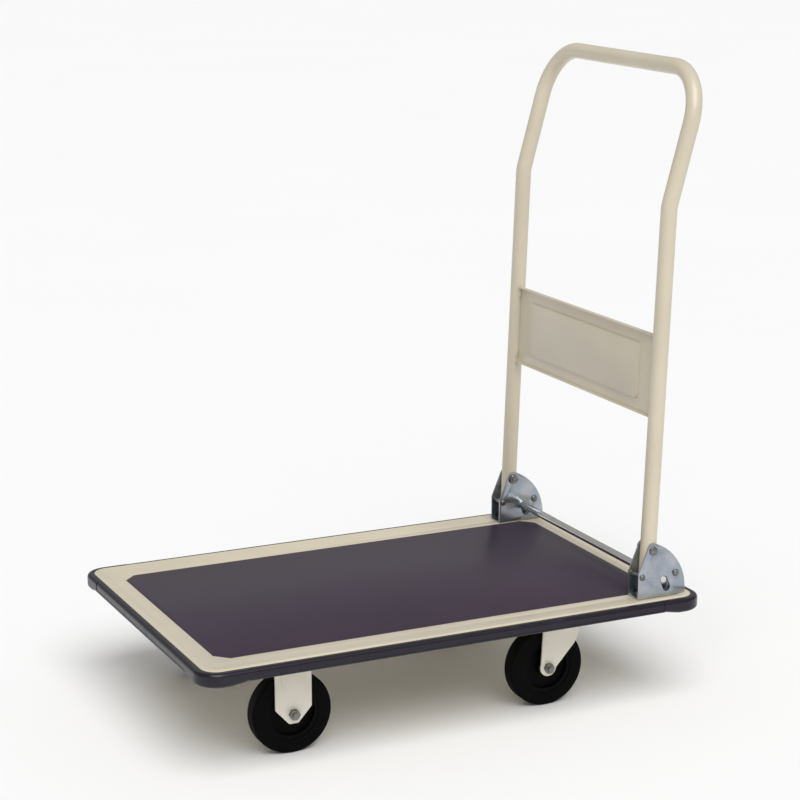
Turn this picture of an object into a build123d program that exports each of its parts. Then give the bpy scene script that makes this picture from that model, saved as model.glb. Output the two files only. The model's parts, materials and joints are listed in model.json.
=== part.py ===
from build123d import *
import os
from math import acos, atan2, cos, degrees, hypot, pi, radians, sin

# Folding platform cart: a pressed steel deck on two fixed and two swivel casters, with a
# bent-tube push handle that folds down over the deck.
# Millimetres. +X points to the handle end, +Z up, Z = 0 is the floor. "left" is -Y, the left
# hand of a person who walks behind the handle and pushes towards -X.

# ---- driving dimensions: deck
deck_length = 743.0         # over the bumpers
deck_width = 492.0          # over the bumpers
deck_top = 152.0            # mat and flat border
rim_rise = 2.6              # the border's raised outer edge above deck_top
rim_width = 17.0            # from the rim's inner foot to the outside of the skirt
rim_crest = 8.0             # from the crest's inner edge to the outside of the skirt
sheet = 1.6                 # deck sheet
bumper_thick = 8.0
pan_skirt_depth = 14.6      # below the rim
pan_corner_radius = 24.0
shoulder_radius = 6.0
mat_length = 658.0
mat_width = 381.8
mat_thick = 1.5
mat_corner_cut = 17.5
bumper_top_drop = 1.5       # bumper lip below the rim
bumper_height = 14.8
bumper_tuck = 2.2           # how far its top lip reaches in over the deck's shoulder
guard_extra_drop = 4.2      # corner guards hang lower than the strips
guard_radius = 4.6          # along the guard's upper and lower outer edges
guard_leg = 10.0            # full-section part of a guard past its corner arc
guard_blend = 24.0          # where it runs down to the strip's section

# ---- driving dimensions: handle
tube_diameter = 22.5
tube_wall = 1.5
leg_spacing = 411.0         # between the two leg axes
pivot_x = 300.4             # from the deck centre
pivot_height = 68.6         # above the deck
lean = 2.46                 # degrees rearwards from vertical
leg_length = 474.2          # pivot to kick
kick_angle = 15.6           # degrees from vertical above the kick
kick_length = 186.1         # kick to the top bar axis
kick_radius = 45.0
bar_corner_radius = 72.0
stub_length = 39.4          # pivot to the lower tube end
panel_low = 183.2           # along the leg from the pivot
panel_high = 298.2
panel_sheet = 1.5
panel_flange = 6.0
field_rise = 2.5
field_half_width = 156.5
field_margin = 18.5
fold_travel = 99.0          # degrees, upright to lying on the deck

# ---- driving dimensions: hinge brackets and lock rod
bracket_front = 277.4       # from the deck centre
bracket_width = 28.0
bracket_sheet = 2.3
arc_centre = (278.6, 8.7)   # x from the deck centre, z above the deck
arc_radius = 74.0
arc_start = 76.3            # degrees, where the slanted edge meets the arc
front_edge_height = 36.3
stop_pin = (283.75, 32.1)   # x from the deck centre, z above the deck
spring_pin = (337.5, 32.3)
rod_place = (318.3, 24.6)
stop_pin_diameter = 6.0
spring_pin_diameter = 7.0
pivot_bolt_diameter = 8.0
pivot_head_diameter = 12.5
pivot_nut_height = 4.5
pivot_head_height = 3.0
bush_outer_radius = 7.0      # sleeve round the pivot bolt
thread_proud = 2.0           # bolt end past its nut
pin_head_grow = 2.5          # riveted head over its pin's diameter
pin_head_height = 2.2
rod_diameter = 11.0
rod_recess = 0.6            # rod ends behind the faces of the outer plates
slot_width = 11.6
slot_direction = -67.6      # degrees from +X, the way the rod is pressed
rod_travel = 12.0
bracket_bolts_x = (290.0, 341.0)
spring_wire = 2.0
spring_coil_radius = 5.4
spring_turns = 4

# ---- driving dimensions: casters
wheel_diameter = 112.0
wheel_width = 22.0
tyre_inner_diameter = 76.0
axle_diameter = 8.0
bush_diameter = 12.0
fixed_track = 326.0         # between the wheels' centre planes
swivel_track = 310.0
fixed_wheel_x = -220.0      # from the deck centre
swivel_wheel_x = 165.0
swivel_offset = 25.0        # axle to kingpin
caster_height = 130.0
fork_gap = 26.0             # between the fork's cheeks
fork_sheet = 2.6
caster_plate = (94.0, 66.0)
caster_holes = (74.0, 46.0)
plate_sheet = 3.0
crown_top = 120.0
crown_radius = 29.0
kingpin_diameter = 12.0
ball_diameter = 6.4
ball_ring_radius = 16.0
balls_per_caster = 12
ring_inner_radius = 20.5
ring_outer_radius = 27.0
tongue_width = 33.0
tongue_bottom = 84.6
fork_shoulder_rise = 8.0     # fixed fork: above the axle
fork_foot_drop = 13.2        # fixed fork: below the axle
tongue_rise = 1.1

# ---- driving dimensions: underframe and fasteners
channel_width = 100.0
channel_length = 410.0
channel_sheet = 2.5
rail_width = 34.0
rail_depth = 17.0
rail_half_spacing = 62.0
bolt_m8 = 8.0
m8_flats = 13.0
m8_head = 5.3
m8_nut = 6.5
running_gap = 0.05          # radial, pin in its hole
body_gap = 0.3              # between pieces of different bodies

# ---- derived places
SIDES = (("left", -1), ("right", 1))
pan_length = deck_length - 2 * bumper_thick
pan_width = deck_width - 2 * bumper_thick
rim_top = deck_top + rim_rise
pan_bottom = rim_top - pan_skirt_depth
lip_top = rim_top - bumper_top_drop
ceiling = deck_top - sheet - mat_thick      # underside of the deck beneath the mat
leg_y = leg_spacing / 2
wheel_y = {fixed_wheel_x: fixed_track / 2}
wheel_radius = wheel_diameter / 2
kingpin_x = swivel_wheel_x + swivel_offset
wheel_y[swivel_wheel_x] = wheel_y[kingpin_x] = swivel_track / 2
cheek_outer = fork_gap / 2 + fork_sheet
pivot_z = deck_top + pivot_height
leg_way = Vector(sin(radians(lean)), 0, cos(radians(lean)))
kick_way = Vector(sin(radians(kick_angle)), 0, cos(radians(kick_angle)))
pivot_point = Vector(pivot_x, 0, pivot_z)
stub_end = pivot_point - leg_way * stub_length
kick_point = pivot_point + leg_way * leg_length
bar_point = kick_point + kick_way * kick_length
# The whole cart is shifted so that the middle of its box is at X = 0.
frame_shift = -(bar_point.X + tube_diameter / 2 - deck_length / 2) / 2

nodes = {}


# ---- shared shapes
def block(x_low, x_high, y_low, y_high, z_low, z_high):
    middle = Pos((x_low + x_high) / 2, (y_low + y_high) / 2, (z_low + z_high) / 2)
    return middle * Box(x_high - x_low, y_high - y_low, z_high - z_low)


def bar_along_y(x, z, y_low, y_high, radius):
    turned = Pos(x, (y_low + y_high) / 2, z) * Rot(90, 0, 0)
    return turned * Cylinder(radius, y_high - y_low)


def bar_along_z(x, y, z_low, z_high, radius):
    return Pos(x, y, (z_low + z_high) / 2) * Cylinder(radius, z_high - z_low)


def plate_along_y(outline, y_low, y_high):
    """A sketch drawn in X and Z, made a plate between two Y planes."""
    return extrude(Plane.XZ.offset(-y_high) * outline, y_high - y_low)


def hexagon(flats, height, face_chamfer=0.8):
    """A hexagon prism from Z = 0 up, its top corners turned off."""
    prism = extrude(RegularPolygon(flats / 2, 6, major_radius=False), height)
    turning = Pos(0, 0, height / 2) * Cylinder(flats * 0.56, height)
    return prism & chamfer(turning.edges().sort_by(Axis.Z)[-1], face_chamfer)


def hex_bolt(diameter, flats, head, length):
    """Head below Z = 0, shank above it."""
    top = Rot(180, 0, 0) * hexagon(flats, head)
    return top + Pos(0, 0, length / 2) * Cylinder(diameter / 2, length)


def hex_nut(diameter, flats, height):
    return hexagon(flats, height) - Pos(0, 0, height / 2) * Cylinder(diameter / 2, height)


def dome_head(diameter, height):
    """A low round head from Z = 0 up."""
    disc = Pos(0, 0, height / 2) * Cylinder(diameter / 2, height)
    return fillet(disc.edges().sort_by(Axis.Z)[-1], height * 0.8)


def along_y(y, way):
    """Where a shape built up +Z lands when it points along Y, way +1 or -1, from the plane y."""
    return Pos(0, y, 0) * Rot(-90 * way, 0, 0)


def group(shapes):
    return Compound([solid for shape in shapes for solid in shape.solids()])


# ---- deck
def mat_outline(grow=0.0):
    outline = Rectangle(mat_length + 2 * grow, mat_width + 2 * grow)
    return chamfer(outline.vertices(), mat_corner_cut + 0.6 * grow)


def rounded_slab(length, width, corner, shoulder, z_low, z_high):
    slab = Pos(0, 0, z_low) * extrude(RectangleRounded(length, width, corner), z_high - z_low)
    return fillet(slab.faces().sort_by(Axis.Z)[-1].edges(), shoulder)


def dished_slab(inset, corner, shoulder, z_low, z_high):
    """The pan's body inset from the skirt: a slab whose middle is pressed down inside the rim."""
    length, width = pan_length - 2 * inset, pan_width - 2 * inset
    slab = rounded_slab(length, width, corner, shoulder, z_low, z_high)

    def level(distance, z):
        half_inset = 2 * (distance - inset)
        outline = RectangleRounded(
            length - half_inset, width - half_inset, pan_corner_radius - distance / 2
        )
        return Pos(0, 0, z) * outline

    foot, crest = rim_width, rim_crest
    return slab - loft([level(foot, z_high - rim_rise), level(crest, z_high)])


def pan_outside():
    return rounded_slab(
        pan_length, pan_width, pan_corner_radius, shoulder_radius, pan_bottom, rim_top
    )


def raised_rim():
    """The raised outer edge of the deck, which the bracket feet are notched to clear."""
    rim = dished_slab(0, pan_corner_radius, shoulder_radius, pan_bottom, rim_top)
    return rim & block(-pan_length, pan_length, -pan_width, pan_width, deck_top, rim_top + 1)


def deck_pan():
    outside = dished_slab(0, pan_corner_radius, shoulder_radius, pan_bottom, rim_top)
    inside = dished_slab(
        sheet, pan_corner_radius - sheet, shoulder_radius - sheet, pan_bottom, rim_top - sheet
    )
    recess = Pos(0, 0, deck_top - mat_thick) * extrude(mat_outline(), mat_thick)
    sunk = Pos(0, 0, ceiling) * extrude(mat_outline(sheet), 2 * mat_thick)
    pan = outside - recess - (inside - sunk)
    for x, y in bracket_bolt_places():
        pan -= bar_along_z(x, y, deck_top - 2 * sheet, deck_top, bolt_m8 / 2)
    return pan


def deck_mat():
    return Pos(0, 0, deck_top - mat_thick) * extrude(mat_outline(), mat_thick)


def bumper_section():
    """The strip's section: x outwards from the skirt, y up from the bumper's top lip."""
    foot_height, overlap, step = 4.8, 0.8, 0.6
    crest_radius, foot_radius = 5.0, 2.2
    body_height = bumper_height - foot_height + overlap
    body = Rectangle(bumper_thick + bumper_tuck - step, body_height, align=(Align.MIN, Align.MAX))
    body = Pos(-bumper_tuck, 0) * body
    body = fillet(body.vertices().group_by(Axis.X)[-1].sort_by(Axis.Y)[-1], crest_radius)
    foot = Rectangle(bumper_thick, foot_height, align=(Align.MIN, Align.MIN))
    foot = Pos(0, -bumper_height) * foot
    foot = fillet(foot.vertices().group_by(Axis.X)[-1], foot_radius)
    return body + foot


def bumper_strip(length):
    """A straight strip along +X from X = 0, its back on Y = 0, bulging to -Y."""
    end = (length, 0, lip_top)
    section = Plane(origin=end, x_dir=(0, -1, 0), z_dir=(-1, 0, 0))
    return extrude(section * bumper_section(), length)


def bumpers():
    """The four strips, each between two corner guards, cut to the pan's shoulder."""
    end = pan_corner_radius + guard_leg + guard_blend
    pan = pan_outside()
    half_x, half_y = pan_length / 2, pan_width / 2
    sides = {
        "bumper_left": (Pos(end - half_x, -half_y, 0), pan_length - 2 * end),
        "bumper_right": (Pos(half_x - end, half_y, 0) * Rot(0, 0, 180), pan_length - 2 * end),
        "bumper_rear": (Pos(half_x, end - half_y, 0) * Rot(0, 0, 90), pan_width - 2 * end),
        "bumper_front": (Pos(-half_x, half_y - end, 0) * Rot(0, 0, -90), pan_width - 2 * end),
    }
    for name, (place, length) in sides.items():
        nodes[name] = place * bumper_strip(length) - pan


def guard_section(drop=guard_extra_drop):
    """The guard's section: one smooth bulge, thicker and lower than the strip."""
    height = bumper_height + drop
    wall = Rectangle(bumper_thick + bumper_tuck, height, align=(Align.MIN, Align.MAX))
    wall = Pos(-bumper_tuck, 0) * wall
    return fillet(wall.vertices().group_by(Axis.X)[-1], guard_radius)


def guard_leg_end(x):
    """The run from the guard's full section down to the strip's depth, along the left side."""
    sections = []
    for distance, drop in ((0, guard_extra_drop), (guard_blend, 0)):
        plane = Plane(
            origin=(x + distance, -pan_width / 2, lip_top), x_dir=(0, -1, 0), z_dir=(-1, 0, 0)
        )
        sections.append(plane * guard_section(drop))
    return loft(sections, ruled=True)


def corner_guards():
    half_x, half_y = pan_length / 2, pan_width / 2
    reach = pan_corner_radius + guard_leg
    path = FilletPolyline(
        (reach - half_x, -half_y, 0), (-half_x, -half_y, 0), (-half_x, reach - half_y, 0),
        radius=pan_corner_radius,
    )
    path = Pos(0, 0, lip_top) * path
    start = Plane(origin=path @ 0, x_dir=(0, -1, 0), z_dir=(-1, 0, 0))
    guard = sweep(start * guard_section(), path=path)
    side_end = guard_leg_end(reach - half_x)
    # The front end is the side end mirrored about the corner's diagonal.
    diagonal = Plane(origin=(-half_x, -half_y, 0), z_dir=(1, -1, 0))
    guard = guard + side_end + mirror(side_end, diagonal) - pan_outside()
    for end_name, turn_x in (("front", False), ("rear", True)):
        for side, way in SIDES:
            shape = guard
            if turn_x:
                shape = mirror(shape, Plane.YZ)
            if way > 0:
                shape = mirror(shape, Plane.XZ)
            nodes[f"corner_guard_{end_name}_{side}"] = shape


# ---- underframe
def cross_channel(x):
    """A U channel across the deck, open side up against the deck sheet, holding two casters."""
    half = channel_width / 2
    half_y = channel_length / 2
    outer = block(x - half, x + half, -half_y, half_y, caster_height, ceiling)
    inner = block(
        x - half + channel_sheet, x + half - channel_sheet, -half_y, half_y,
        caster_height + channel_sheet, ceiling,
    )
    channel = outer - inner
    low_edges = [e for e in channel.edges().filter_by(Axis.Y) if e.center().Z < caster_height + 0.1]
    channel = fillet(low_edges, 3.0)
    for hole_x, hole_y in caster_hole_places(x):
        channel -= bar_along_z(
            hole_x, hole_y, caster_height, caster_height + channel_sheet, bolt_m8 / 2
        )
    return channel


def deck_rail(way):
    """A lengthwise U stiffener between the two cross channels."""
    front = fixed_wheel_x + channel_width / 2
    rear = kingpin_x - channel_width / 2
    y = way * rail_half_spacing
    half = rail_width / 2
    outer = block(front, rear, y - half, y + half, ceiling - rail_depth, ceiling)
    inner = block(
        front, rear, y - half + channel_sheet, y + half - channel_sheet,
        ceiling - rail_depth + channel_sheet, ceiling,
    )
    return outer - inner


def caster_hole_places(x):
    half_x, half_y = caster_holes[0] / 2, caster_holes[1] / 2
    return [
        (x + sx * half_x, way * wheel_y[x] + sy * half_y)
        for _, way in SIDES for sx in (-1, 1) for sy in (-1, 1)
    ]


def caster_fasteners():
    bolts, nuts = [], []
    shank = plate_sheet + channel_sheet + m8_nut + thread_proud
    for x in (fixed_wheel_x, kingpin_x):
        for hole_x, hole_y in caster_hole_places(x):
            seat = Pos(hole_x, hole_y, caster_height - plate_sheet)
            bolts.append(seat * hex_bolt(bolt_m8, m8_flats, m8_head, shank))
            top = Pos(hole_x, hole_y, caster_height + channel_sheet)
            nuts.append(top * hex_nut(bolt_m8, m8_flats, m8_nut))
    nodes["caster_bolts"] = group(bolts)
    nodes["caster_nuts"] = group(nuts)


# ---- hinge brackets
def on_deck(place):
    """A bracket point given as x from the deck centre and z above the deck."""
    return place[0], deck_top + place[1]


def bracket_outline():
    front = bracket_front
    centre_x, centre_z = on_deck(arc_centre)
    rear = centre_x + arc_radius

    def on_arc(angle):
        return (centre_x + arc_radius * cos(radians(angle)),
                centre_z + arc_radius * sin(radians(angle)))

    corner = on_arc(arc_start)
    edges = Polyline(
        (rear, centre_z), (rear, deck_top), (front, deck_top),
        (front, deck_top + front_edge_height), corner,
    )
    edges += ThreePointArc(corner, on_arc(arc_start / 2), on_arc(0))
    outline = make_face(edges)
    tip = outline.vertices().sort_by_distance((*corner, 0))[0]
    outline = fillet(tip, 8.0)
    shoulder = outline.vertices().sort_by_distance((front, deck_top + front_edge_height, 0))[0]
    return fillet(shoulder, 4.0)


def rod_slot():
    start_x, start_z = on_deck(rod_place)
    way = (cos(radians(slot_direction)), sin(radians(slot_direction)))
    middle = Pos(start_x + way[0] * rod_travel / 2, start_z + way[1] * rod_travel / 2)
    return middle * Rot(0, 0, slot_direction) * SlotCenterToCenter(rod_travel, slot_width)


def hinge_bracket(way):
    outline = bracket_outline() - rod_slot()
    for place, diameter in (
        (stop_pin, stop_pin_diameter),
        (spring_pin, spring_pin_diameter),
        ((pivot_x, pivot_height), pivot_bolt_diameter),
    ):
        outline -= Pos(*on_deck(place)) * Circle(diameter / 2)
    y = way * leg_y
    half = bracket_width / 2
    plates = plate_along_y(outline, y - half, y + half)
    gap_top = deck_top + arc_centre[1] + arc_radius + 1
    rear = arc_centre[0] + arc_radius
    web_top = deck_top + bracket_sheet
    gap = block(
        bracket_front - 1, rear + 1, y - half + bracket_sheet, y + half - bracket_sheet,
        web_top, gap_top,
    )
    bracket = plates - gap
    low_edges = [
        e for e in bracket.edges().filter_by(Axis.X)
        if abs(e.center().Z - deck_top) < 0.01 and e.length > arc_radius / 2
    ]
    bracket = fillet(low_edges, 2.0)
    bracket -= raised_rim()
    for x, bolt_y in bracket_bolt_places():
        if bolt_y * way > 0:
            bracket -= bar_along_z(x, bolt_y, deck_top, web_top, bolt_m8 / 2)
    return bracket


def bracket_bolt_places():
    return [(x, way * leg_y) for _, way in SIDES for x in bracket_bolts_x]


def bracket_fasteners():
    seat = deck_top + bracket_sheet
    shank = bracket_sheet + sheet + m8_nut + thread_proud
    bolts, nuts = [], []
    for x, y in bracket_bolt_places():
        bolts.append(Pos(x, y, seat) * Rot(180, 0, 0) * hex_bolt(bolt_m8, m8_flats, m8_head, shank))
        under = Pos(x, y, deck_top - sheet) * Rot(180, 0, 0)
        nuts.append(under * hex_nut(bolt_m8, m8_flats, m8_nut))
    nodes["bracket_bolts"] = group(bolts)
    nodes["bracket_nuts"] = group(nuts)


def riveted_pin(place, diameter, way):
    """A pin across both plates of a bracket with a round head outside each."""
    x, z = on_deck(place)
    y = way * leg_y
    half = bracket_width / 2
    pin = bar_along_y(x, z, y - half, y + half, diameter / 2)
    head = dome_head(diameter + pin_head_grow, pin_head_height)
    for end in (-1, 1):
        pin += Pos(x, 0, z) * along_y(y + end * half, end) * head
    return pin


def pivot_fasteners():
    """Dome-headed bolts from outside, each with a thin nut on the inner plate."""
    bolts, nuts = [], []
    half = bracket_width / 2
    for _, way in SIDES:
        outside = way * (leg_y + half)
        inside = way * (leg_y - half)
        ends = sorted((outside, inside - way * (pivot_nut_height + 1.5)))
        shank = bar_along_y(pivot_x, pivot_z, *ends, pivot_bolt_diameter / 2)
        head = Pos(pivot_x, 0, pivot_z) * along_y(outside, way) * dome_head(
            pivot_head_diameter, pivot_head_height
        )
        bolts.append(shank + head)
        nut_seat = Pos(pivot_x, 0, pivot_z) * along_y(inside, -way)
        nuts.append(nut_seat * hex_nut(pivot_bolt_diameter, m8_flats, pivot_nut_height))
    nodes["pivot_bolts"] = group(bolts)
    nodes["pivot_nuts"] = group(nuts)


def lock_spring(way):
    """A torsion spring on the rear pin; its long arm lifts the rod, its tail stands on the web."""
    pin_x, pin_z = on_deck(spring_pin)
    rod_x, rod_z = on_deck(rod_place)
    wire = spring_wire / 2
    # The arm is the line that touches the coil and the rod from below.
    reach = rod_diameter / 2 + wire + running_gap
    span = hypot(rod_x - pin_x, rod_z - pin_z)
    line = atan2(rod_z - pin_z, rod_x - pin_x)
    normal = line + acos((spring_coil_radius - reach) / span)
    down = Vector(cos(normal), 0, sin(normal))
    turns = spring_turns + (degrees(pi - normal) % 360) / 360
    pitch = spring_wire + 0.3
    width = pitch * turns
    y_low = way * leg_y - width / 2
    path = Rot(0, 0, 180) * Helix(pitch, width, spring_coil_radius)
    start = Plane(origin=path @ 0, z_dir=path % 0)
    coil = sweep(start * Circle(wire), path=path)
    coil = Pos(pin_x, y_low, pin_z) * Rot(-90, 0, 0) * coil
    arm_start = Vector(pin_x, y_low + width, pin_z) + down * spring_coil_radius
    arm_end = Vector(rod_x, y_low + width, rod_z) + down * reach
    arm_way = (arm_end - arm_start).normalized()
    arm_start -= arm_way * wire
    arm_end += arm_way * 5.0
    tail_top = Vector(pin_x - spring_coil_radius, y_low, pin_z + wire)
    tail_end = Vector(tail_top.X, y_low, deck_top + bracket_sheet)
    return coil + straight_wire(arm_start, arm_end, wire) + straight_wire(tail_top, tail_end, wire)


def straight_wire(start, end, radius):
    plane = Plane(origin=start, z_dir=end - start)
    return extrude(plane * Circle(radius), (end - start).length)


# ---- lock rod
def lock_rod():
    x, z = on_deck(rod_place)
    half = leg_y + bracket_width / 2 - rod_recess
    rod = bar_along_y(x, z, -half, half, rod_diameter / 2)
    return chamfer(rod.faces().filter_by(Axis.Y).edges(), 1.0)


def rod_clips():
    """Flat retaining rings pressed on the rod just inside the outer bracket plates."""
    x, z = on_deck(rod_place)
    clips = []
    for _, way in SIDES:
        face = way * (leg_y + bracket_width / 2 - bracket_sheet - 0.4)
        ends = sorted((face, face - way * 1.2))
        ring = bar_along_y(x, z, *ends, rod_diameter / 2 + 2.0)
        clips.append(ring - bar_along_y(x, z, *ends, rod_diameter / 2))
    return group(clips)


# ---- handle
def handle_path():
    half = leg_spacing / 2

    def on_side(point, way):
        return (point.X, way * half, point.Z)

    points = [on_side(p, -1) for p in (stub_end, kick_point, bar_point)]
    points += [on_side(p, 1) for p in (bar_point, kick_point, stub_end)]
    return FilletPolyline(
        *points, radius=[kick_radius, bar_corner_radius, bar_corner_radius, kick_radius]
    )


def handle_solid(radius):
    path = handle_path()
    start = Plane(origin=path @ 0, z_dir=leg_way)
    return sweep(start * Circle(radius), path=path)


def handle_tube():
    tube = handle_solid(tube_diameter / 2) - handle_solid(tube_diameter / 2 - tube_wall)
    for _, way in SIDES:
        y = way * leg_y
        tube -= bar_along_y(pivot_x, pivot_z, y - tube_diameter, y + tube_diameter, bush_outer_radius)
    return tube


def pivot_bushes():
    """Steel bushes across the tube; the pivot bolt runs in them."""
    bushes = []
    hole = pivot_bolt_diameter / 2 + running_gap
    for _, way in SIDES:
        y = way * leg_y
        half = tube_diameter / 2
        sleeve = bar_along_y(pivot_x, pivot_z, y - half, y + half, bush_outer_radius)
        bushes.append(sleeve - bar_along_y(pivot_x, pivot_z, y - half, y + half, hole))
    return group(bushes)


def leg_plugs():
    """Plastic plugs that close the lower tube ends."""
    plugs = []
    for _, way in SIDES:
        seat = Plane(origin=(stub_end.X, way * leg_y, stub_end.Z), z_dir=leg_way)
        stem = extrude(seat * Circle(tube_diameter / 2 - tube_wall), 10.0)
        plugs.append(stem)
    return group(plugs)


def handle_panel():
    """A pressed panel in the legs' plane: flanges and a raised field towards the deck."""
    half_y = leg_y - 7.0
    height = panel_high - panel_low
    foot = pivot_point + leg_way * panel_low
    plane = Plane(origin=(foot.X, 0, foot.Z), x_dir=(0, 1, 0), z_dir=Vector(0, 1, 0).cross(leg_way))
    forward = -1 if plane.z_dir.X > 0 else 1
    up = 1 if plane.y_dir.Z > 0 else -1

    def sheet_block(width, low, high, near, far, corner=0.0):
        outline = Rectangle(width, high - low)
        if corner:
            outline = fillet(outline.vertices(), corner)
        face = plane.offset(forward * near) * Pos(0, up * (low + high) / 2) * outline
        return extrude(face, forward * (far - near))

    panel = sheet_block(2 * half_y, 0, height, -panel_sheet / 2, panel_sheet / 2)
    flange_y = 2 * (leg_y - tube_diameter / 2 - 1.0)
    for low in (0, height - panel_sheet):
        panel += sheet_block(flange_y, low, low + panel_sheet, 0, panel_flange)
    field = (2 * field_half_width, field_margin, height - field_margin)
    front = panel_sheet / 2 + field_rise
    panel += sheet_block(*field, 0, front, 7.0)
    hollow = (field[0] - 2 * panel_sheet, field[1] + panel_sheet, field[2] - panel_sheet)
    panel -= sheet_block(*hollow, -panel_sheet, front - panel_sheet, 7.0 - panel_sheet)
    return panel - handle_solid(tube_diameter / 2)


# ---- casters
def fixed_fork_outline():
    """One cheek, x from the axle and absolute z: straight sides, then a pointed foot."""
    half, foot = 25.8, 6.5               # half widths at the shoulder and at the foot
    shoulder_z, foot_z = wheel_radius + fork_shoulder_rise, wheel_radius - fork_foot_drop
    cheek = make_face(Polyline(
        (-half, caster_height), (-half, shoulder_z), (-foot, foot_z),
        (foot, foot_z), (half, shoulder_z), (half, caster_height), close=True,
    ))
    low = cheek.vertices().sort_by(Axis.Y)[:4]
    return fillet(low, 4.0)


def tongue_outline():
    """The raised tongue pressed into each cheek, round at its lower end."""
    radius = tongue_width / 2
    top = caster_height - plate_sheet - 4.0
    centre = tongue_bottom + radius
    straight = Pos(0, (top + centre) / 2) * Rectangle(tongue_width, top - centre)
    return straight + Pos(0, centre) * Circle(radius)


def fixed_fork(way):
    x, y = fixed_wheel_x, way * wheel_y[fixed_wheel_x]
    half_x, half_y = caster_plate[0] / 2, caster_plate[1] / 2
    low = caster_height - plate_sheet
    slab = block(x - half_x, x + half_x, y - half_y, y + half_y, low, caster_height)
    fork = fillet(slab.edges().filter_by(Axis.Z), 5.0)
    for side in (-1, 1):
        inner, outer = sorted((y + side * fork_gap / 2, y + side * cheek_outer))
        notch_y = sorted((y + side * cheek_outer, y + side * (half_y + 1)))
        fork -= block(x - 27.0, x + 27.0, *notch_y, low - 1, caster_height + 1)
        fork += Pos(x, 0, 0) * plate_along_y(fixed_fork_outline(), inner, outer)
        face = y + side * cheek_outer
        raised = sorted((face, face + side * tongue_rise))
        fork += Pos(x, 0, 0) * plate_along_y(tongue_outline(), *raised)
    fork -= bar_along_y(x, wheel_radius, y - half_y, y + half_y, axle_diameter / 2)
    for hole_x, hole_y in caster_hole_places(x):
        if hole_y * way > 0:
            fork -= bar_along_z(hole_x, hole_y, low, caster_height, bolt_m8 / 2)
    return fork


def swivel_cheek_outline():
    """One raked cheek, x from the kingpin: a round foot about the axle under a wide crown."""
    axle = (-swivel_offset, wheel_radius)
    foot_radius, front = 12.0, 9.6
    heel = (17.0, wheel_radius + 32.0)
    cheek = make_face(Polyline(
        (-swivel_offset - front + 2.0, crown_top), (-swivel_offset - front - 1.4, wheel_radius + 8.0),
        (-swivel_offset - foot_radius, wheel_radius), (-swivel_offset + foot_radius, wheel_radius - 1.0),
        heel, (26.0, crown_top - 14.0), (26.0, crown_top), close=True,
    ))
    corner = cheek.vertices().sort_by_distance((*heel, 0))[0]
    return fillet(corner, 30.0) + Pos(*axle) * Circle(foot_radius)


def swivel_fork(way):
    x, y = kingpin_x, way * wheel_y[kingpin_x]
    low = crown_top - plate_sheet
    fork = bar_along_z(x, y, low, crown_top, crown_radius)
    fork += block(x - swivel_offset - 7.6, x, y - cheek_outer, y + cheek_outer, low, crown_top)
    for side in (-1, 1):
        ends = sorted((y + side * fork_gap / 2, y + side * cheek_outer))
        fork += Pos(x, 0, 0) * plate_along_y(swivel_cheek_outline(), *ends)
    fork -= bar_along_z(x, y, low, crown_top, kingpin_diameter / 2 + running_gap)
    axle_x = swivel_wheel_x
    fork -= bar_along_y(axle_x, wheel_radius, y - cheek_outer, y + cheek_outer, axle_diameter / 2)
    return fork


def swivel_plate(way):
    x, y = kingpin_x, way * wheel_y[kingpin_x]
    half_x, half_y = caster_plate[0] / 2, caster_plate[1] / 2
    low = caster_height - plate_sheet
    plate = block(x - half_x, x + half_x, y - half_y, y + half_y, low, caster_height)
    plate = fillet(plate.edges().filter_by(Axis.Z), 5.0)
    for hole_x, hole_y in caster_hole_places(x):
        if hole_y * way > 0:
            plate -= bar_along_z(hole_x, hole_y, low, caster_height, bolt_m8 / 2)
    return plate - bar_along_z(x, y, low, caster_height, kingpin_diameter / 2)


def swivel_kingpins():
    """Rivets fixed in the top plates; each fork turns between the plate and the lower head."""
    pins = []
    low = crown_top - plate_sheet
    for _, way in SIDES:
        x, y = kingpin_x, way * wheel_y[kingpin_x]
        pin = bar_along_z(x, y, low - body_gap, caster_height, kingpin_diameter / 2)
        head = bar_along_z(x, y, low - body_gap - 2.6, low - body_gap, 10.0)
        pins.append(pin + head)
    return group(pins)


def swivel_balls():
    balls = []
    height = (crown_top + caster_height - plate_sheet) / 2
    for _, way in SIDES:
        for i in range(balls_per_caster):
            angle = radians(360 / balls_per_caster * i)
            x = kingpin_x + ball_ring_radius * cos(angle)
            y = way * wheel_y[kingpin_x] + ball_ring_radius * sin(angle)
            balls.append(Pos(x, y, height) * Sphere(ball_diameter / 2))
    return group(balls)


def swivel_ring(way):
    """The dust ring on the fork's crown, round the balls."""
    x, y = kingpin_x, way * wheel_y[kingpin_x]
    top = caster_height - plate_sheet - body_gap
    ring = bar_along_z(x, y, crown_top, top, ring_outer_radius)
    ring = fillet(ring.edges().sort_by(Axis.Z)[-1], 2.0)
    return ring - bar_along_z(x, y, crown_top, top, ring_inner_radius)


def axle_bolt(x, way):
    """Head on the inboard cheek, thread outboard."""
    y = way * wheel_y[x]
    head_face = y - way * cheek_outer
    shank = 2 * cheek_outer + m8_nut + thread_proud
    return Pos(x, 0, wheel_radius) * along_y(head_face, way) * hex_bolt(
        axle_diameter, m8_flats, m8_head, shank
    )


def axle_nut(x, way):
    face = way * (wheel_y[x] + cheek_outer)
    nut = hex_nut(axle_diameter, m8_flats, m8_nut)
    return Pos(x, 0, wheel_radius) * along_y(face, way) * nut


def tyre_section():
    """Radius along x, width along y."""
    inner, outer = tyre_inner_diameter / 2, wheel_radius
    section = Rectangle(outer - inner, wheel_width, align=(Align.MIN, Align.CENTER))
    section = Pos(inner, 0) * section
    return fillet(section.vertices().group_by(Axis.X)[-1], 3.0)


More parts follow.
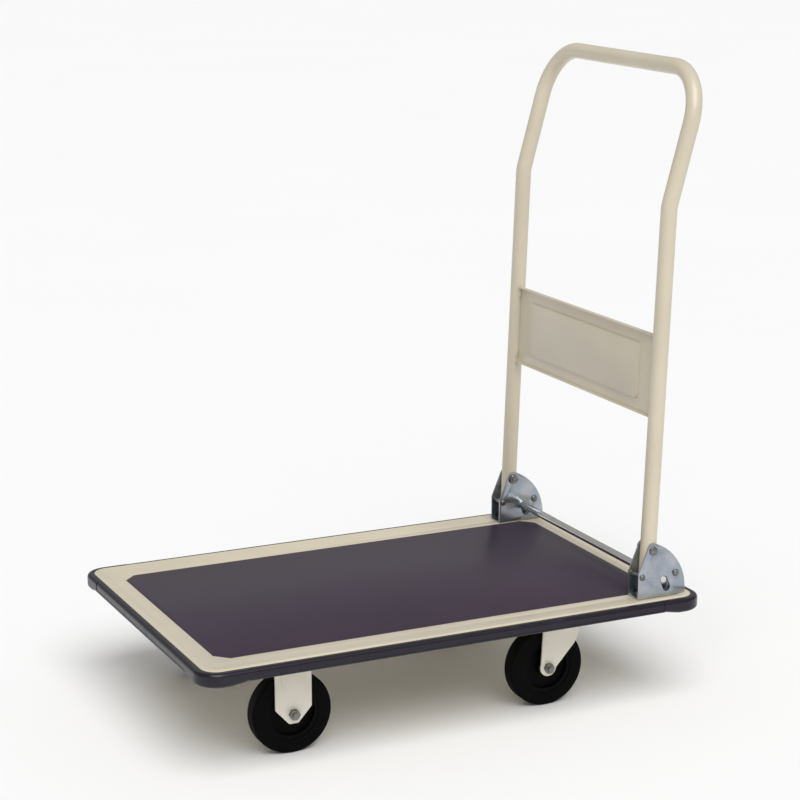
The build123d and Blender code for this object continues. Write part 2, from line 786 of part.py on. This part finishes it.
def core_section():
    """Half of the wheel core: rim, web and hub."""
    rim_inner, hub_outer, web_thick, recess, lap = 32.0, 14.0, 8.0, 1.0, 1.0

    def ring(inner, outer, width):
        return Pos((inner + outer) / 2, 0) * Rectangle(outer - inner, width)

    rim = ring(rim_inner, tyre_inner_diameter / 2, wheel_width - 2 * recess)
    web = ring(hub_outer - lap, rim_inner + lap, web_thick)
    return rim + web + ring(bush_diameter / 2, hub_outer, wheel_width)


def turned_wheel(section, x, way):
    """A section with radius along x and width along y, turned about the axle."""
    shape = revolve(section, axis=Axis.Y)
    return Pos(x, way * wheel_y[x], wheel_radius) * shape


def wheel_bush(x, way):
    y = way * wheel_y[x]
    half = fork_gap / 2 - 0.2
    sleeve = bar_along_y(x, wheel_radius, y - half, y + half, bush_diameter / 2)
    hole = axle_diameter / 2 + running_gap
    return sleeve - bar_along_y(x, wheel_radius, y - half, y + half, hole)


# ---- the whole cart
def add_deck():
    nodes["deck_pan"] = deck_pan()
    nodes["deck_mat"] = deck_mat()
    bumpers()
    corner_guards()
    nodes["cross_channel_front"] = cross_channel(fixed_wheel_x)
    nodes["cross_channel_rear"] = cross_channel(kingpin_x)
    for side, way in SIDES:
        nodes[f"deck_rail_{side}"] = deck_rail(way)
    caster_fasteners()


def add_brackets():
    for side, way in SIDES:
        nodes[f"hinge_bracket_{side}"] = hinge_bracket(way)
        nodes[f"lock_spring_{side}"] = lock_spring(way)
    nodes["stop_pins"] = group(riveted_pin(stop_pin, stop_pin_diameter, w) for _, w in SIDES)
    nodes["spring_pins"] = group(riveted_pin(spring_pin, spring_pin_diameter, w) for _, w in SIDES)
    bracket_fasteners()
    pivot_fasteners()
    nodes["lock_rod"] = lock_rod()
    nodes["rod_clips"] = rod_clips()


def add_handle():
    nodes["handle_tube"] = handle_tube()
    nodes["handle_panel"] = handle_panel()
    nodes["pivot_bushes"] = pivot_bushes()
    nodes["leg_plugs"] = leg_plugs()


def add_casters():
    for side, way in SIDES:
        nodes[f"fixed_fork_{side}"] = fixed_fork(way)
        nodes[f"swivel_fork_{side}"] = swivel_fork(way)
        nodes[f"swivel_plate_{side}"] = swivel_plate(way)
        nodes[f"swivel_ring_{side}"] = swivel_ring(way)
        nodes[f"swivel_axle_bolt_{side}"] = axle_bolt(swivel_wheel_x, way)
        nodes[f"swivel_axle_nut_{side}"] = axle_nut(swivel_wheel_x, way)
        for end_name, x in (("front", fixed_wheel_x), ("rear", swivel_wheel_x)):
            wheel = f"{end_name}_{side}"
            nodes[f"tyre_{wheel}"] = turned_wheel(tyre_section(), x, way)
            nodes[f"wheel_core_{wheel}"] = turned_wheel(core_section(), x, way)
            nodes[f"wheel_bush_{wheel}"] = wheel_bush(x, way)
    nodes["swivel_kingpins"] = swivel_kingpins()
    nodes["swivel_balls"] = swivel_balls()
    nodes["fixed_axle_bolts"] = group(axle_bolt(fixed_wheel_x, way) for _, way in SIDES)
    nodes["fixed_axle_nuts"] = group(axle_nut(fixed_wheel_x, way) for _, way in SIDES)


def write_parts():
    os.makedirs("parts", exist_ok=True)
    for name, shape in nodes.items():
        export_step(Pos(frame_shift, 0, 0) * shape, f"parts/{name}.step")


add_deck()
add_brackets()
add_handle()
add_casters()
write_parts()
print(f"{len(nodes)} nodes, shift {frame_shift:.4f}, fold angle {fold_travel}")
print(f"kick {degrees(atan2(bar_point.X - kick_point.X, bar_point.Z - kick_point.Z)):.2f} deg")
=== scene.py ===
import json
from math import radians

import bpy
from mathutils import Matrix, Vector


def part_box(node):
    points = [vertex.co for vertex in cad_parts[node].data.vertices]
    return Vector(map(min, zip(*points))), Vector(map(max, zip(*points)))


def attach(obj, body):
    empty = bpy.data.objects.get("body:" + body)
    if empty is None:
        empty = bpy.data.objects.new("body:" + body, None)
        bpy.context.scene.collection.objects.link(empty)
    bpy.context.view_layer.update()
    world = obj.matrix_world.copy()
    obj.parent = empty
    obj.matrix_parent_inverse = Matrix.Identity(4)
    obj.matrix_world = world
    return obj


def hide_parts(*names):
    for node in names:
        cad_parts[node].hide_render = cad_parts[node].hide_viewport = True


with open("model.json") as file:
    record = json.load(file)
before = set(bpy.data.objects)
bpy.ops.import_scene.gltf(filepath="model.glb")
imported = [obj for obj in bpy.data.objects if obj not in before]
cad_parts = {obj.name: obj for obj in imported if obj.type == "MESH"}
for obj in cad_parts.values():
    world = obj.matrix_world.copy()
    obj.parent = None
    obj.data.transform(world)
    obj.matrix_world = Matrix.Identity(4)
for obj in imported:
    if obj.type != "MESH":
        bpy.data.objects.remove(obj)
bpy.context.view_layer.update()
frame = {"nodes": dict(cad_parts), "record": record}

mm = 0.001
SIDES = (("left", -1), ("right", 1))


# ---- shading shorthand
class Value:
    """A number that varies over a surface; arithmetic on it adds Math nodes."""

    def __init__(self, finish, socket):
        self.finish, self.socket = finish, socket

    def maths(self, operation, *others):
        return self.finish.node("Math", {"operation": operation}, dict(enumerate((self, *others))))

    def __add__(self, other):
        return self.maths("ADD", other)

    def __mul__(self, other):
        return self.maths("MULTIPLY", other)

    def __rsub__(self, other):
        return self.maths("MULTIPLY_ADD", -1.0, other)

    __radd__ = __add__
    __rmul__ = __mul__

    def between(self, low, high):
        """0 below low, 1 above high, a smooth slope between them."""
        settings = {"interpolation_type": "SMOOTHSTEP"}
        return self.finish.node("MapRange", settings, {0: self, 1: low, 2: high})


class Finish:
    """One material of the cart and the nodes that make it."""

    def __init__(self, name):
        self.material = bpy.data.materials.new(name)
        self.material.use_nodes = True
        self.tree = self.material.node_tree
        self.tree.nodes.clear()
        self.place = self.node("TexCoord", output="Object")

    def node(self, kind, settings=(), sockets=(), output=0):
        """Adds one node: its settings first, then its inputs by name or number."""
        node = self.tree.nodes.new("ShaderNode" + kind)
        for key, value in dict(settings).items():
            setattr(node, key, value)
        for key, value in dict(sockets).items():
            if isinstance(value, Value):
                self.tree.links.new(value.socket, node.inputs[key])
            else:
                node.inputs[key].default_value = value
        return Value(self, node.outputs[output]) if len(node.outputs) else None

    def stretched(self, x, y, z):
        """The place, squeezed so that a pattern on it runs along the small numbers."""
        return self.node("Mapping", {}, {"Vector": self.place, "Scale": (x, y, z)})

    def noise(self, scale, detail=2.0, roughness=0.5, place=None):
        sockets = {"Vector": place or self.place, "Scale": scale, "Detail": detail}
        sockets["Roughness"] = roughness
        return self.node("TexNoise", {}, sockets, output="Fac")

    def blend(self, amount, first, second):
        """Colour first where amount is 0, second where it is 1."""
        sockets = {"Factor": amount}
        for slot, colour in ((6, first), (7, second)):
            sockets[slot] = colour if isinstance(colour, Value) else (*colour, 1.0)
        return self.node("Mix", {"data_type": "RGBA"}, sockets, output=2)

    def edges(self, radius, samples=4):
        """Near 1 within about a radius of a sharp edge, 0 on flat ground."""
        rounded = self.node("Bevel", {"samples": samples}, {"Radius": radius})
        flat = self.node("NewGeometry", output="Normal")
        facing = self.node(
            "VectorMath", {"operation": "DOT_PRODUCT"}, {0: rounded, 1: flat}, output="Value"
        )
        return (1.0 - facing).between(0.02, 0.18)

    def bump(self, height, depth, strength=1.0):
        sockets = {"Height": height, "Distance": depth, "Strength": strength}
        return self.node("Bump", {}, sockets)

    def finished(self, **sockets):
        """Puts the values on the shader, whose sockets are named with underscores."""
        named = {key.replace("_", " "): value for key, value in sockets.items()}
        shader = self.node("BsdfPrincipled", {}, named)
        self.node("OutputMaterial", {}, {"Surface": shader})
        return self.material


def rgb(red, green, blue):
    """A colour as a paint card gives it, 0 to 255, made linear."""
    return tuple(
        c / 12.92 if c <= 0.04045 else ((c + 0.055) / 1.055) ** 2.4
        for c in (red / 255, green / 255, blue / 255)
    )


def shade_of(colour, factor):
    return tuple(min(1.0, c * factor) for c in colour)


# ---- finishes
def enamel(name, colour, roughness, chips=0.0):
    """Baked enamel on steel: slow colour drift, orange peel, and thin paint on sharp edges."""
    finish = Finish(name)
    drift = finish.noise(7.0, 3.0)
    mottle = finish.noise(55.0, 4.0, 0.6)
    base = finish.blend(drift.between(0.3, 0.7), shade_of(colour, 0.955), shade_of(colour, 1.03))
    base = finish.blend(mottle.between(0.55, 0.8) * 0.25, base, shade_of(colour, 0.9))
    peel = finish.noise(650.0, 2.0)
    rough = mottle * 0.10 + (roughness - 0.05)
    if chips:
        broken = finish.noise(420.0, 3.0).between(0.5, 0.62)
        worn = finish.edges(0.7 * mm) * broken * chips
        base = finish.blend(worn, base, rgb(128, 122, 112))
    return finish.finished(
        Base_Color=base, Roughness=rough, Normal=finish.bump(peel, 0.05 * mm, 0.6),
        Coat_Weight=0.25, Coat_Roughness=0.12, Specular_IOR_Level=0.5,
    )


def mat_vinyl():
    """Calendered vinyl: a fine pebble grain, slow sheen changes and faint scuffs."""
    finish = Finish("mat_vinyl")
    colour = rgb(56, 44, 60)
    pebble = finish.node("TexVoronoi", {}, {"Vector": finish.place, "Scale": 700.0})
    grain = finish.noise(1500.0, 2.0) * 0.4 + pebble
    drift = finish.noise(5.0, 3.0)
    scuffs = finish.noise(30.0, 5.0, 0.7, finish.stretched(0.35, 2.5, 1.0)).between(0.6, 0.78)
    base = finish.blend(drift.between(0.3, 0.7), shade_of(colour, 0.9), shade_of(colour, 1.08))
    base = finish.blend(scuffs * 0.22, base, shade_of(colour, 1.45))
    return finish.finished(
        Base_Color=base, Roughness=drift * 0.10 + scuffs * 0.08 + 0.36,
        Normal=finish.bump(grain, 0.12 * mm, 0.35), Specular_IOR_Level=0.26,
    )


def bumper_vinyl():
    """Soft moulded vinyl: flow marks and a faint bloom."""
    finish = Finish("bumper_vinyl")
    colour = rgb(20, 14, 28)
    bloom = finish.noise(24.0, 4.0, 0.6).between(0.5, 0.75)
    base = finish.blend(bloom * 0.3, colour, rgb(44, 34, 56))
    skin = finish.noise(900.0, 2.0)
    rough = bloom * 0.12 + 0.27
    return finish.finished(
        Base_Color=base, Roughness=rough, Normal=finish.bump(skin, 0.04 * mm, 0.5),
        Specular_IOR_Level=0.4,
    )


def zinc_plate():
    """Bright blue-passivated zinc on pressed steel: rolling lines, cloudy tint, and a painted
    highlight along the edges.
    """
    finish = Finish("zinc_plate")
    cloud = finish.noise(38.0, 4.0, 0.6)
    rolled = finish.noise(90.0, 3.0, 0.6, finish.stretched(1.0, 1.0, 14.0))
    base = finish.blend(cloud.between(0.35, 0.7), rgb(158, 166, 178), rgb(184, 187, 192))
    # painted highlight: edges mixed towards near-white
    base = finish.blend(finish.edges(0.5 * mm) * 0.6, base, rgb(238, 238, 236))
    rough = rolled * 0.10 + cloud * 0.10 + 0.20
    return finish.finished(
        Base_Color=base, Metallic=1.0, Roughness=rough,
        Normal=finish.bump(rolled, 0.02 * mm, 0.5),
    )


def plated_rod():
    finish = Finish("rod_chrome")
    drawn = finish.noise(60.0, 3.0, 0.6, finish.stretched(12.0, 0.4, 12.0))
    smudge = finish.noise(26.0, 3.0).between(0.5, 0.8)
    base = finish.blend(smudge * 0.4, rgb(214, 214, 212), rgb(188, 187, 183))
    return finish.finished(
        Base_Color=base, Metallic=1.0, Roughness=smudge * 0.14 + 0.10,
        Normal=finish.bump(drawn, 0.01 * mm, 0.5),
    )


def plated_steel(name, colour, roughness):
    """Dull plated steel of the bolts, nuts, pins and wire, with a painted highlight along sharp
    edges.
    """
    finish = Finish(name)
    tarnish = finish.noise(140.0, 4.0, 0.6).between(0.4, 0.75)
    base = finish.blend(tarnish, colour, shade_of(colour, 0.6))
    # painted highlight: sharp edges lightened to half again the colour
    base = finish.blend(finish.edges(0.3 * mm) * 0.5, base, shade_of(colour, 1.5))
    return finish.finished(
        Base_Color=base, Metallic=1.0, Roughness=tarnish * 0.2 + roughness,
        Normal=finish.bump(finish.noise(1200.0, 2.0), 0.02 * mm, 0.4),
    )


def moulded_black(name, colour, roughness, bloom_colour):
    """Black rubber or plastic as moulded: fine texture and a little grey bloom."""
    finish = Finish(name)
    bloom = finish.noise(45.0, 5.0, 0.65).between(0.52, 0.8)
    base = finish.blend(bloom * 0.5, colour, bloom_colour)
    return finish.finished(
        Base_Color=base, Roughness=bloom * 0.15 + roughness,
        Normal=finish.bump(finish.noise(1000.0, 3.0), 0.05 * mm, 0.5),
        Specular_IOR_Level=0.07,
    )


cream = rgb(207, 197, 175)
finishes = {
    "deck_paint": enamel("deck_paint", cream, 0.36, chips=0.15),
    "handle_paint": enamel("handle_paint", cream, 0.32),
    "frame_paint": enamel("frame_paint", rgb(200, 190, 168), 0.42, chips=0.3),
    "fork_paint": enamel("fork_paint", rgb(224, 219, 205), 0.34, chips=0.3),
    "mat_vinyl": mat_vinyl(),
    "bumper_vinyl": bumper_vinyl(),
    "zinc_plate": zinc_plate(),
    "rod_chrome": plated_rod(),
    "fastener_steel": plated_steel("fastener_steel", rgb(132, 131, 127), 0.3),
    "spring_steel": plated_steel("spring_steel", rgb(120, 120, 122), 0.34),
    "wheel_rubber": moulded_black("wheel_rubber", rgb(4, 4, 4), 0.65, rgb(11, 10, 10)),
    "core_plastic": moulded_black("core_plastic", rgb(5, 5, 5), 0.6, rgb(13, 12, 12)),
    "plug_plastic": moulded_black("plug_plastic", rgb(22, 22, 24), 0.45, rgb(40, 40, 40)),
}
slot_of = {part["node"]: part["material_slot"] for part in frame["record"]["subparts"]}


def paint(piece, slot):
    piece.data.materials.clear()
    piece.data.materials.append(finishes[slot])


for node_name, node_object in frame["nodes"].items():
    for material_slot in node_object.material_slots:
        material_slot.material = finishes[slot_of[node_name]]


# ---- pieces
bodies = frame["record"]["behaviour"]["bodies"]
body_of = {node: body for body, nodes in bodies.items() for node in nodes}


def pick(piece):
    bpy.ops.object.select_all(action="DESELECT")
    piece.select_set(True)
    bpy.context.view_layer.objects.active = piece


def with_modifier(piece, kind, **settings):
    modifier = piece.modifiers.new(kind.lower(), kind)
    for key, value in settings.items():
        setattr(modifier, key, value)
    pick(piece)
    bpy.ops.object.modifier_apply(modifier=modifier.name)


def round_edges(piece, radius):
    rounded_over, smoothed_under = radians(35), radians(32)
    with_modifier(
        piece, "BEVEL", width=radius, segments=2, limit_method="ANGLE",
        angle_limit=rounded_over, use_clamp_overlap=True,
    )
    bpy.ops.object.shade_smooth_by_angle(angle=smoothed_under)


def finish_piece(piece, name, body, slot, *nodes):
    """Names, paints and attaches one visible piece, which stands for the nodes given."""
    pick(piece)
    bpy.ops.object.transform_apply(location=True, rotation=True, scale=True)
    piece.name = name
    paint(piece, slot)
    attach(piece, body)
    if nodes:
        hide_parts(*nodes)


def soft_edged(node, radius, suffix):
    """The node's shape with its cut or pressed edges rounded off as on the real part."""
    source = frame["nodes"][node]
    piece = source.copy()
    piece.data = source.data.copy()
    bpy.context.scene.collection.objects.link(piece)
    piece.parent = None
    piece.matrix_world = source.matrix_world
    pick(piece)
    bpy.ops.mesh.customdata_custom_splitnormals_clear()
    bpy.ops.object.mode_set(mode="EDIT")
    bpy.ops.mesh.select_all(action="SELECT")
    same_place, same_plane = 0.002 * mm, radians(0.5)
    bpy.ops.mesh.remove_doubles(threshold=same_place)
    bpy.ops.mesh.dissolve_limited(angle_limit=same_plane)
    bpy.ops.object.mode_set(mode="OBJECT")
    round_edges(piece, radius)
    finish_piece(piece, node + suffix, body_of[node], slot_of[node], node)


def weld_beads():
    """Short fillet welds where the panel's flanges meet the handle's legs."""
    low, high = (Vector(corner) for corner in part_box("handle_panel"))
    middle_x = (low.x + high.x) / 2
    bead_length, bead_radius, bead_depth, from_end = 13 * mm, 1.9 * mm, 1.1, 12 * mm
    leg_lean, across = radians(2.46), 0.6
    for side, way in SIDES:
        edge = low.y if way < 0 else high.y
        for level, z in (("low", low.z + from_end), ("high", high.z - from_end)):
            bpy.ops.object.select_all(action="DESELECT")
            bpy.ops.mesh.primitive_uv_sphere_add(segments=20, ring_count=12, radius=bead_radius)
            bead = bpy.context.object
            lean = (z - (low.z + high.z) / 2) / (high.z - low.z)
            bead.scale = (1.0, bead_depth, bead_length / bead_radius / 2)
            bead.location = (middle_x + lean * (high.x - low.x) * across, edge, z)
            bead.rotation_euler = (0, leg_lean, 0)
            pick(bead)
            bpy.ops.object.shade_smooth()
            finish_piece(bead, f"panel_weld_{level}_{side}", "handle", "handle_paint")


pressed = ["deck_pan", "deck_mat", "handle_panel", "cross_channel_front", "cross_channel_rear"]
pressed += [
    f"{part}_{side}" for side, _ in SIDES
    for part in ("deck_rail", "hinge_bracket", "fixed_fork", "swivel_fork", "swivel_plate")
]
pressed_edge = 0.4 * mm
for node_name in pressed:
    soft_edged(node_name, pressed_edge, "_soft")
weld_beads()


# ---- studio
sky_strength, sun_strength = 0.42, 2.4
sun_spread, sun_way = radians(50), Vector((0.12, 0.55, -0.83))


def floor_finish():
    finish = Finish("studio_floor")
    cloud = finish.noise(1.3, 3.0)
    base = finish.blend(cloud, (0.92, 0.92, 0.92), (0.94, 0.94, 0.94))
    return finish.finished(Base_Color=base, Roughness=0.8, Specular_IOR_Level=0.2)


def studio():
    bpy.ops.object.select_all(action="DESELECT")
    bpy.ops.mesh.primitive_plane_add(size=60.0, location=(0, 0, 0))
    floor = bpy.context.object
    floor.name = "studio_floor"
    floor.data.materials.append(floor_finish())

    world = bpy.data.worlds.new("studio_air")
    world.use_nodes = True
    world.node_tree.nodes["Background"].inputs[0].default_value = (1.0, 1.0, 1.0, 1.0)
    world.node_tree.nodes["Background"].inputs[1].default_value = sky_strength
    bpy.context.scene.world = world

    light = bpy.data.lights.new("window", "SUN")
    light.energy = sun_strength
    light.angle = sun_spread
    lamp = bpy.data.objects.new("window", light)
    lamp.rotation_euler = sun_way.to_track_quat("-Z", "Y").to_euler()
    bpy.context.scene.collection.objects.link(lamp)


def camera():
    lens = bpy.data.cameras.new("camera")
    lens.sensor_width = 36.0
    lens.lens = 103.36
    lens.shift_x, lens.shift_y = -0.0269, -0.0091
    eye = bpy.data.objects.new("camera", lens)
    eye.location = (-1.3057, -2.8041, 1.1646)
    eye.rotation_euler = (radians(90 - 13.40), 0.0, radians(-25.75))
    bpy.context.scene.collection.objects.link(eye)
    bpy.context.scene.camera = eye


studio()
camera()
bpy.context.scene.view_settings.view_transform = "Standard"
